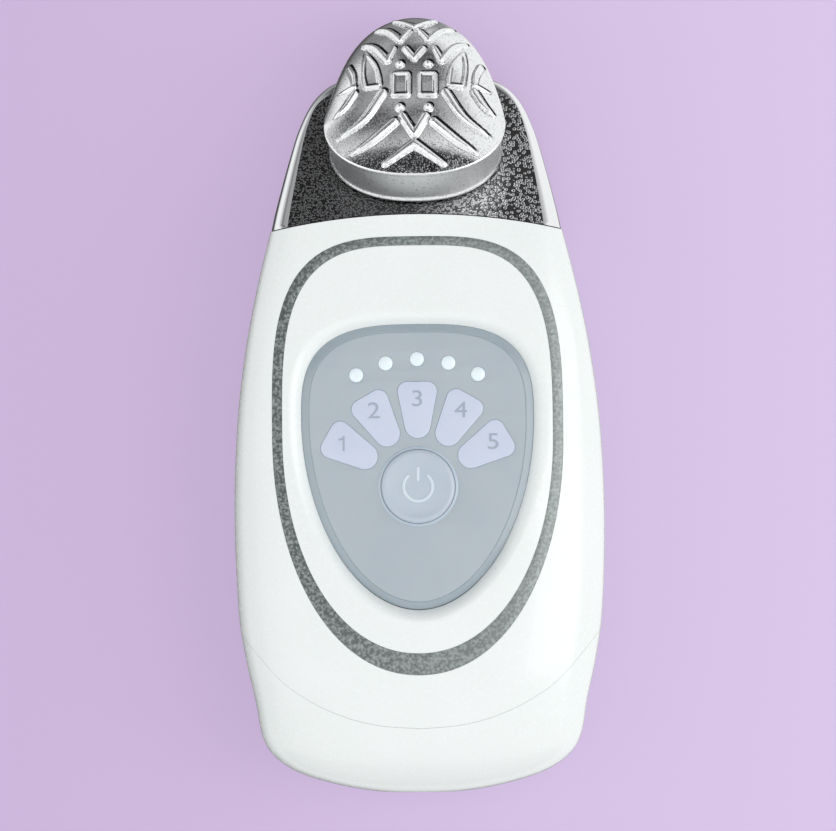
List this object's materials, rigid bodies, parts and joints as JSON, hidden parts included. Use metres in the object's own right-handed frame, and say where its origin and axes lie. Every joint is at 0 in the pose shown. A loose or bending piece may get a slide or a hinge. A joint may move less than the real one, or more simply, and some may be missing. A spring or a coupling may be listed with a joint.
{
  "type": "handheld facial massager",
  "caption": "Pebble-shaped white handset with a keypad in front and a slanted chrome neck that carries a domed, ridged chrome skin conductor head; it lies on its flat back.",
  "frame": {"origin": "middle of the bounding box's footprint, on the surface the back rests on", "axes": "+X across the handset, +Y towards the conductor head, +Z out of the keypad"},
  "size_m": [0.064, 0.1339, 0.0306],
  "materials": {
    "shell_white": "gloss",
    "chrome_plating": "polished",
    "inlay_grey": "satin",
    "panel_blue_grey": "satin",
    "button_plastic": "gloss",
    "key_lavender": "satin",
    "lamp_lens": "gloss",
    "dark_plastic": "matte",
    "gasket_rubber": "matte",
    "board_green": "satin",
    "plated_steel": "satin",
    "gold_contact": "polished",
    "cell_sleeve": "satin",
    "wire_red": "satin"
  },
  "bodies": {
    "handset": {"front_shell": "shell_white", "rear_shell": "shell_white", "head_seat_housing": "chrome_plating", "palm_contact_plate": "chrome_plating", "seat_gasket": "gasket_rubber", "contact_pin": "gold_contact", "inlay_ring": "inlay_grey", "keypad_panel": "panel_blue_grey", "circuit_board": "board_green", "controller_chip": "dark_plastic", "buzzer": "dark_plastic", "boost_coil": "dark_plastic", "capacitor": "plated_steel", "switch_power": "dark_plastic", "battery_tray": "dark_plastic", "head_wire": "wire_red", "palm_wire": "wire_red", "led_lens_1": "lamp_lens", "led_chip_1": "lamp_lens", "switch_1": "dark_plastic", "led_lens_2": "lamp_lens", "led_chip_2": "lamp_lens", "switch_2": "dark_plastic", "led_lens_3": "lamp_lens", "led_chip_3": "lamp_lens", "switch_3": "dark_plastic", "led_lens_4": "lamp_lens", "led_chip_4": "lamp_lens", "switch_4": "dark_plastic", "led_lens_5": "lamp_lens", "led_chip_5": "lamp_lens", "switch_5": "dark_plastic", "battery_left": "cell_sleeve", "cell_contact_left": "plated_steel", "cell_spring_left": "plated_steel", "battery_right": "cell_sleeve", "cell_contact_right": "plated_steel", "cell_spring_right": "plated_steel", "screw_1": "plated_steel", "screw_2": "plated_steel", "screw_3": "plated_steel", "screw_4": "plated_steel"},
    "conductor_head": {"conductor_cap": "chrome_plating", "conductor_base": "dark_plastic"},
    "battery_cover": {"battery_cover": "shell_white"},
    "power_button": {"power_button": "button_plastic"},
    "key_1": {"key_1": "key_lavender"},
    "key_2": {"key_2": "key_lavender"},
    "key_3": {"key_3": "key_lavender"},
    "key_4": {"key_4": "key_lavender"},
    "key_5": {"key_5": "key_lavender"}
  },
  "joints": [
    {"name": "key_1_press", "type": "slide", "parent": "handset", "child": "key_1", "axis": [0, 0, -1], "range_m": [0, 0.0006], "stiffness_N_per_m": 1000},
    {"name": "key_2_press", "type": "slide", "parent": "handset", "child": "key_2", "axis": [0, 0, -1], "range_m": [0, 0.0006], "stiffness_N_per_m": 1000},
    {"name": "key_3_press", "type": "slide", "parent": "handset", "child": "key_3", "axis": [0, 0, -1], "range_m": [0, 0.0006], "stiffness_N_per_m": 1000},
    {"name": "key_4_press", "type": "slide", "parent": "handset", "child": "key_4", "axis": [0, 0, -1], "range_m": [0, 0.0006], "stiffness_N_per_m": 1000},
    {"name": "key_5_press", "type": "slide", "parent": "handset", "child": "key_5", "axis": [0, 0, -1], "range_m": [0, 0.0006], "stiffness_N_per_m": 1000},
    {"name": "power_press", "type": "slide", "parent": "handset", "child": "power_button", "axis": [0, 0, -1], "range_m": [0, 0.001], "stiffness_N_per_m": 1200},
    {"name": "head_lift_off", "type": "slide", "parent": "handset", "child": "conductor_head", "axis": [0, 0.5, 0.866], "range_m": [0, 0.018]},
    {"name": "battery_cover_slide", "type": "slide", "parent": "handset", "child": "battery_cover", "axis": [0, -1, 0], "range_m": [0, 0.062]}
  ]
}
